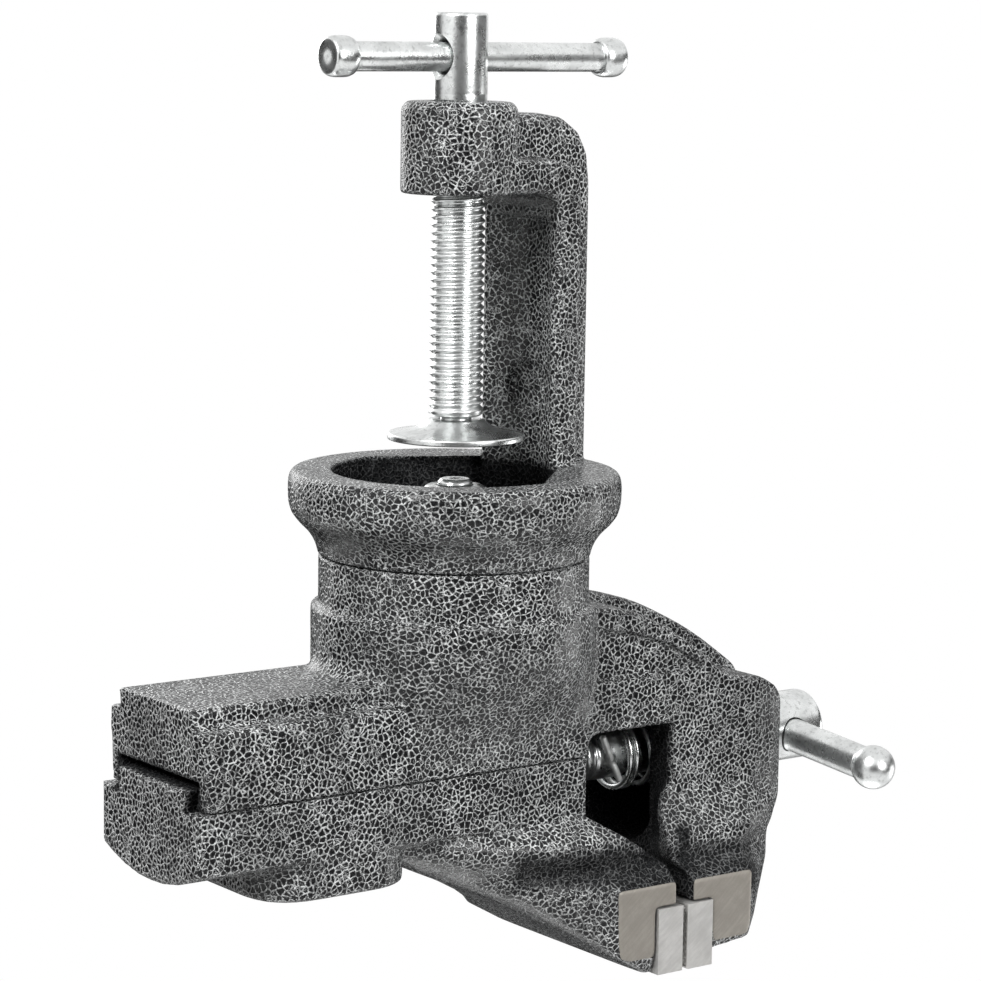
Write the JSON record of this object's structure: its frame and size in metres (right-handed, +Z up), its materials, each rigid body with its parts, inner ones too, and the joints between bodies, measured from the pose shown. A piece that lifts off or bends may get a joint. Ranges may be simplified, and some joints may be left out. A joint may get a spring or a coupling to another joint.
{
  "type": "swivel bench vise",
  "caption": "Clamp-on swivel bench vise: C-clamp base with screw, tommy bar and pad, swivelling body, sliding jaw with anvil, main screw with bar, ground jaw plates.",
  "frame": {"origin": "centre of the base's ring face that rests on the bench top, on the swivel axis", "axes": "+Z up, away from the bench, along the swivel axis; +X along the main screw towards its handle and the fixed jaw; +Y across, along the jaws"},
  "size_m": [0.1859, 0.0826, 0.2176],
  "materials": {
    "hammered_enamel": "dark charcoal hammered enamel with a silver-grey network",
    "zinc_plate": "bright bluish zinc plate",
    "ground_steel": "ground steel with fine scratches",
    "dark_steel": "dark oiled steel"
  },
  "bodies": {
    "clamp": {"clamp_base": "hammered_enamel"},
    "vise": {"vise_body": "hammered_enamel", "front_jaw_plate": "ground_steel", "front_plate_screw_left": "dark_steel", "front_plate_screw_right": "dark_steel", "pivot_bolt": "zinc_plate", "pivot_washer": "zinc_plate", "pivot_nut": "zinc_plate"},
    "slide": {"slide_jaw": "hammered_enamel", "rear_jaw_plate": "ground_steel", "rear_plate_screw_left": "dark_steel", "rear_plate_screw_right": "dark_steel", "lead_nut": "dark_steel"},
    "lead_screw": {"main_screw": "zinc_plate", "split_pin": "zinc_plate", "wall_washer": "zinc_plate", "thrust_spring": "zinc_plate"},
    "lead_bar": {"main_tommy_bar": "zinc_plate", "main_bar_knob_left": "zinc_plate", "main_bar_knob_right": "zinc_plate"},
    "pad": {"clamp_pad": "zinc_plate"},
    "hold_screw": {"clamp_screw": "zinc_plate"},
    "hold_bar": {"clamp_tommy_bar": "zinc_plate", "clamp_bar_knob_left": "zinc_plate", "clamp_bar_knob_right": "zinc_plate"}
  },
  "joints": [
    {"name": "swivel", "type": "hinge", "parent": "clamp", "child": "vise", "pos_m": [0, 0, 0.019], "axis": [0, 0, 1], "continuous": true},
    {"name": "jaw_travel", "type": "slide", "parent": "vise", "child": "slide", "axis": [-1, 0, 0], "range_m": [-0.001, 0.05]},
    {"name": "lead_turn", "type": "hinge", "parent": "vise", "child": "lead_screw", "pos_m": [0.06, 0, 0.0705], "axis": [1, 0, 0], "range_deg": [-240, 9100]},
    {"name": "lead_bar_slide", "type": "slide", "parent": "lead_screw", "child": "lead_bar", "axis": [0, 0.9962, 0.0872], "range_m": [-0.0235, 0.0235]},
    {"name": "pad_travel", "type": "slide", "parent": "clamp", "child": "pad", "axis": [0, 0, 1], "range_m": [-0.046, 0.0045]},
    {"name": "hold_turn", "type": "hinge", "parent": "pad", "child": "hold_screw", "pos_m": [0, 0, -0.05], "axis": [0, 0, 1], "range_deg": [-9500, 1300]},
    {"name": "hold_bar_slide", "type": "slide", "parent": "hold_screw", "child": "hold_bar", "axis": [1, 0, 0], "range_m": [-0.03, 0.02]}
  ],
  "couplings": [
    {"joint": "lead_turn", "follows": "jaw_travel", "rad_per_m": 3141.6},
    {"joint": "hold_turn", "follows": "pad_travel", "rad_per_m": 3590.4}
  ]
}
